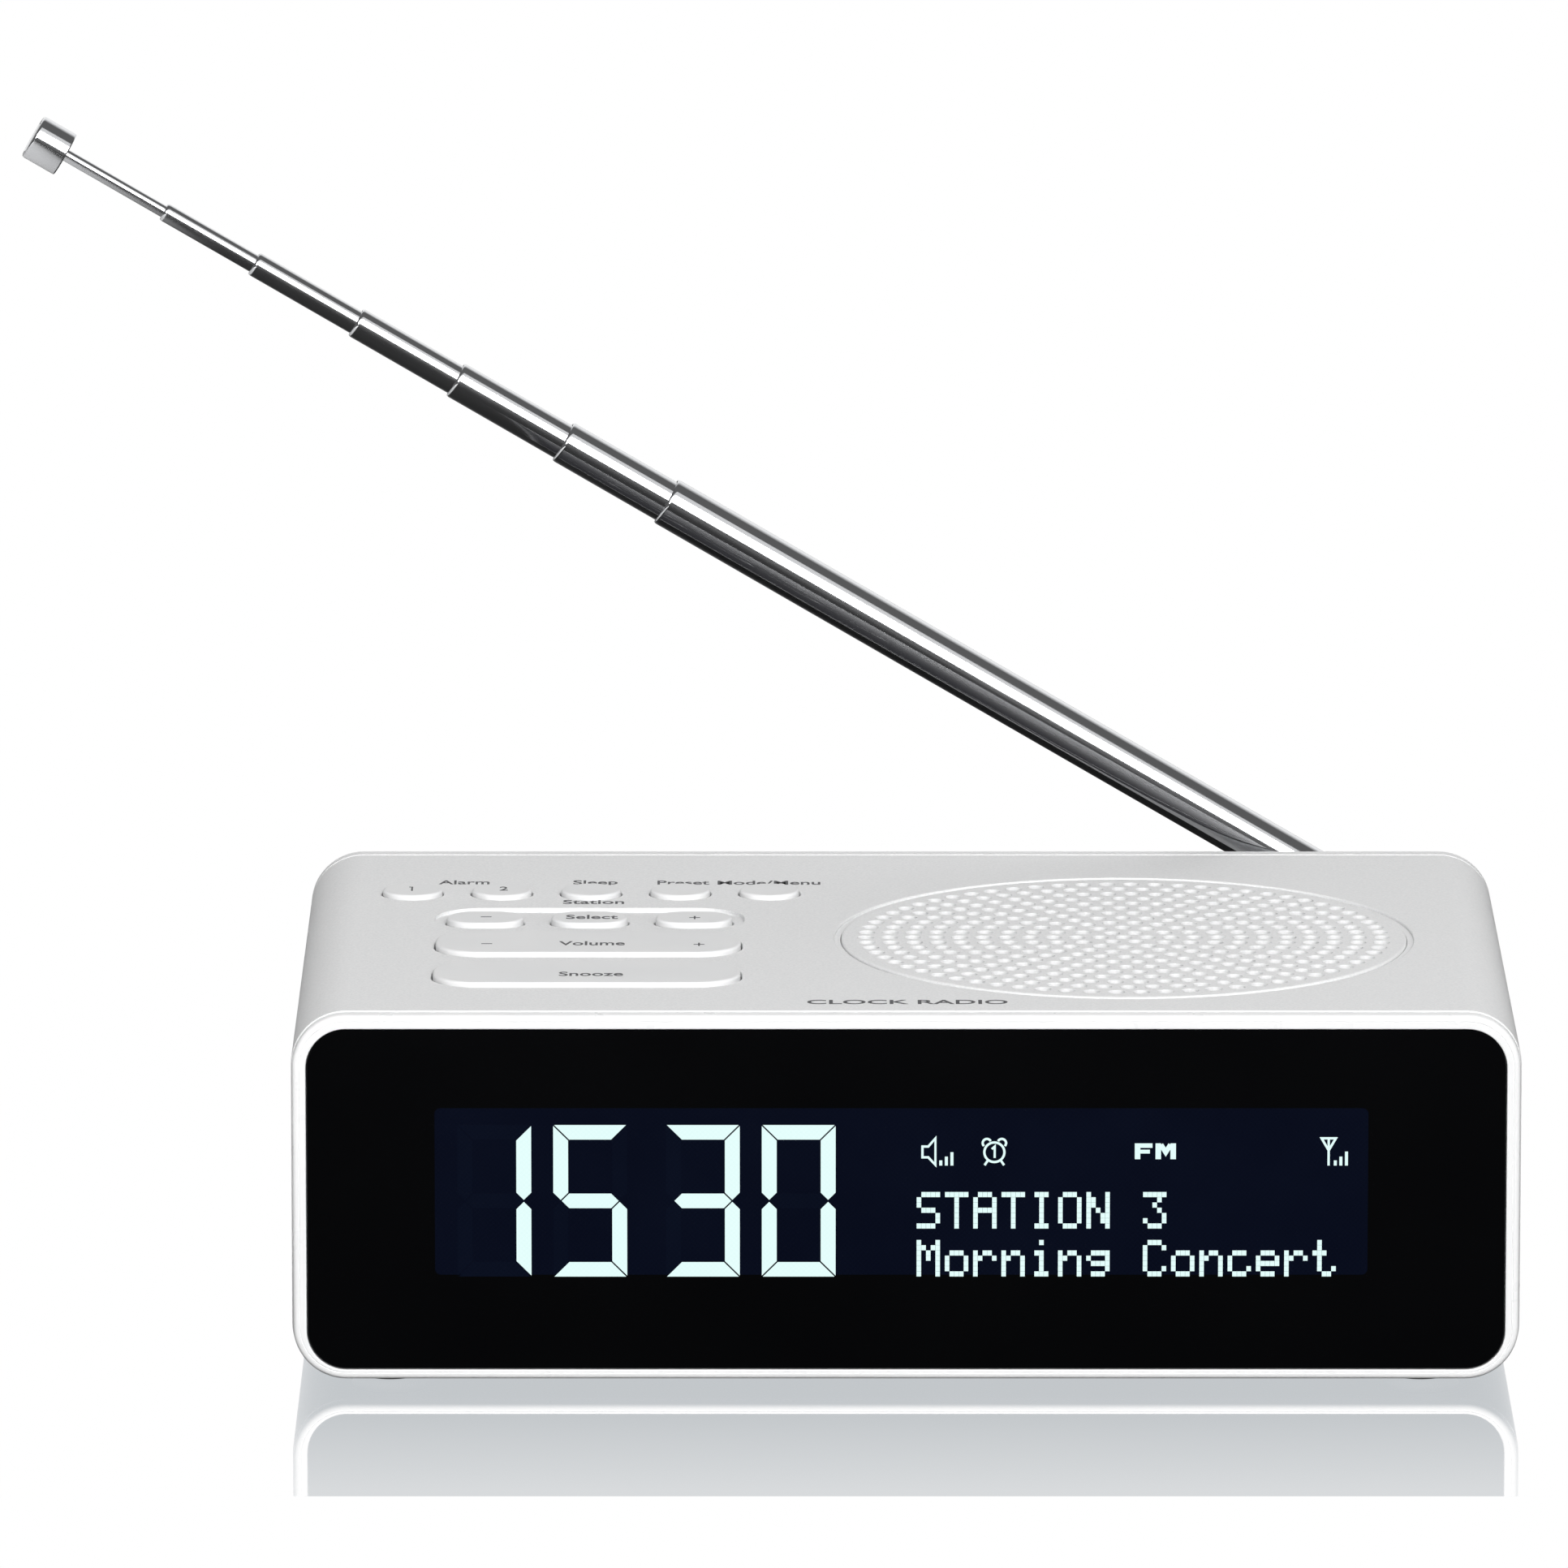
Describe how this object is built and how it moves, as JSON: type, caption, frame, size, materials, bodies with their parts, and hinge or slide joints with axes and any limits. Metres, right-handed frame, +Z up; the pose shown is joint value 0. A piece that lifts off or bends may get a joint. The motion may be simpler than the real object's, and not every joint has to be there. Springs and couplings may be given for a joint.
{
  "type": "tabletop radio",
  "caption": "Low rounded-box tabletop digital radio with a black display front, top keys, a round speaker grille and a telescopic antenna.",
  "frame": {"origin": "middle of the cabinet's flat underside; the feet reach 1.8 mm below it", "axes": "+X to the right seen from the front, +Y to the back, +Z up"},
  "size_m": [0.2358, 0.134, 0.1784],
  "materials": {
    "white_plastic": "fine spark-eroded matt texture",
    "white_frame": "smooth satin",
    "black_lens": "polished",
    "display_glass": "polished",
    "diffuser": "satin",
    "grey_plastic": "moulded",
    "silicone": "matt",
    "circuit_board": "solder mask",
    "black_plastic": "moulded",
    "tinned_steel": "plated",
    "paper_cone": "pressed paper",
    "ferrite": "sintered",
    "rubber": "matt",
    "ribbon": "satin",
    "red_wire": "satin",
    "chrome": "polished"
  },
  "bodies": {
    "cabinet": {"amplifier_chip": "black_plastic", "board_screw_1": "tinned_steel", "board_screw_2": "tinned_steel", "cabinet_shell": "white_plastic", "capacitor": "black_plastic", "dc_jack": "black_plastic", "display_board": "circuit_board", "display_ribbon": "ribbon", "foot_front_left": "rubber", "foot_front_right": "rubber", "foot_rear_left": "rubber", "foot_rear_right": "rubber", "front_frame": "white_frame", "front_lens": "black_lens", "headphone_jack": "black_plastic", "key_board": "circuit_board", "key_mat": "silicone", "key_ribbon": "ribbon", "lcd_backlight": "diffuser", "lcd_glass": "display_glass", "lcd_holder": "grey_plastic", "main_board": "circuit_board", "rear_cover": "white_plastic", "rear_screw_1": "tinned_steel", "rear_screw_2": "tinned_steel", "rear_screw_3": "tinned_steel", "rear_screw_4": "tinned_steel", "speaker_cone": "paper_cone", "speaker_frame": "tinned_steel", "speaker_grille": "white_plastic", "speaker_lead": "red_wire", "speaker_magnet": "ferrite", "speaker_screw_1": "tinned_steel", "speaker_screw_2": "tinned_steel", "speaker_screw_3": "tinned_steel", "speaker_screw_4": "tinned_steel", "tuner_can": "tinned_steel"},
    "alarm_1": {"alarm_1_button": "white_plastic"},
    "alarm_2": {"alarm_2_button": "white_plastic"},
    "sleep": {"sleep_button": "white_plastic"},
    "preset": {"preset_button": "white_plastic"},
    "mode": {"mode_button": "white_plastic"},
    "station_down": {"station_down_button": "white_plastic"},
    "select": {"select_button": "white_plastic"},
    "station_up": {"station_up_button": "white_plastic"},
    "snooze": {"snooze_button": "white_plastic"},
    "volume": {"volume_rocker": "white_plastic"},
    "antenna_base": {"antenna_swivel": "chrome", "antenna_nut": "tinned_steel", "antenna_elbow_pin": "chrome"},
    "antenna_stage_1": {"antenna_tube_1": "chrome"},
    "antenna_stage_2": {"antenna_tube_2": "chrome"},
    "antenna_stage_3": {"antenna_tube_3": "chrome"},
    "antenna_stage_4": {"antenna_tube_4": "chrome"},
    "antenna_stage_5": {"antenna_tube_5": "chrome"},
    "antenna_stage_6": {"antenna_tube_6": "chrome"},
    "antenna_stage_7": {"antenna_rod": "chrome", "antenna_cap": "chrome"}
  },
  "joints": [
    {"name": "alarm_1_press", "type": "slide", "parent": "cabinet", "child": "alarm_1", "axis": [0, 0, -1], "range_m": [0, 0.0008], "stiffness_N_per_m": 600, "springref_m": -0.0006},
    {"name": "alarm_2_press", "type": "slide", "parent": "cabinet", "child": "alarm_2", "axis": [0, 0, -1], "range_m": [0, 0.0008], "stiffness_N_per_m": 600, "springref_m": -0.0006},
    {"name": "sleep_press", "type": "slide", "parent": "cabinet", "child": "sleep", "axis": [0, 0, -1], "range_m": [0, 0.0008], "stiffness_N_per_m": 600, "springref_m": -0.0006},
    {"name": "preset_press", "type": "slide", "parent": "cabinet", "child": "preset", "axis": [0, 0, -1], "range_m": [0, 0.0008], "stiffness_N_per_m": 600, "springref_m": -0.0006},
    {"name": "mode_press", "type": "slide", "parent": "cabinet", "child": "mode", "axis": [0, 0, -1], "range_m": [0, 0.0008], "stiffness_N_per_m": 600, "springref_m": -0.0006},
    {"name": "station_down_press", "type": "slide", "parent": "cabinet", "child": "station_down", "axis": [0, 0, -1], "range_m": [0, 0.0008], "stiffness_N_per_m": 600, "springref_m": -0.0006},
    {"name": "select_press", "type": "slide", "parent": "cabinet", "child": "select", "axis": [0, 0, -1], "range_m": [0, 0.0008], "stiffness_N_per_m": 600, "springref_m": -0.0006},
    {"name": "station_up_press", "type": "slide", "parent": "cabinet", "child": "station_up", "axis": [0, 0, -1], "range_m": [0, 0.0008], "stiffness_N_per_m": 600, "springref_m": -0.0006},
    {"name": "snooze_press", "type": "slide", "parent": "cabinet", "child": "snooze", "axis": [0, 0, -1], "range_m": [0, 0.0008], "stiffness_N_per_m": 600, "springref_m": -0.0006},
    {"name": "volume_rock", "type": "hinge", "parent": "cabinet", "child": "volume", "pos_m": [-0.0496, -0.0116, 0.0542], "axis": [0, 1, 0], "range_deg": [-1.5, 1.5], "stiffness_Nm_per_rad": 1.2},
    {"name": "antenna_turn", "type": "hinge", "parent": "cabinet", "child": "antenna_base", "pos_m": [0.076, 0.068, 0.0474], "axis": [0, 1, 0], "range_deg": [-30.4, 149.6]},
    {"name": "antenna_tilt", "type": "hinge", "parent": "antenna_base", "child": "antenna_stage_1", "pos_m": [0.076, 0.068, 0.0474], "axis": [-0.506, 0, -0.8625], "range_deg": [0, 90]},
    {"name": "antenna_slide_2", "type": "slide", "parent": "antenna_stage_1", "child": "antenna_stage_2", "axis": [-0.8625, 0, 0.506], "range_m": [-0.0177, 0.0888]},
    {"name": "antenna_slide_3", "type": "slide", "parent": "antenna_stage_2", "child": "antenna_stage_3", "axis": [-0.8625, 0, 0.506], "range_m": [-0.0185, 0.088]},
    {"name": "antenna_slide_4", "type": "slide", "parent": "antenna_stage_3", "child": "antenna_stage_4", "axis": [-0.8625, 0, 0.506], "range_m": [-0.017, 0.0895]},
    {"name": "antenna_slide_5", "type": "slide", "parent": "antenna_stage_4", "child": "antenna_stage_5", "axis": [-0.8625, 0, 0.506], "range_m": [-0.0174, 0.0891]},
    {"name": "antenna_slide_6", "type": "slide", "parent": "antenna_stage_5", "child": "antenna_stage_6", "axis": [-0.8625, 0, 0.506], "range_m": [-0.0152, 0.0913]},
    {"name": "antenna_slide_7", "type": "slide", "parent": "antenna_stage_6", "child": "antenna_stage_7", "axis": [-0.8625, 0, 0.506], "range_m": [-0.0164, 0.0901]}
  ]
}
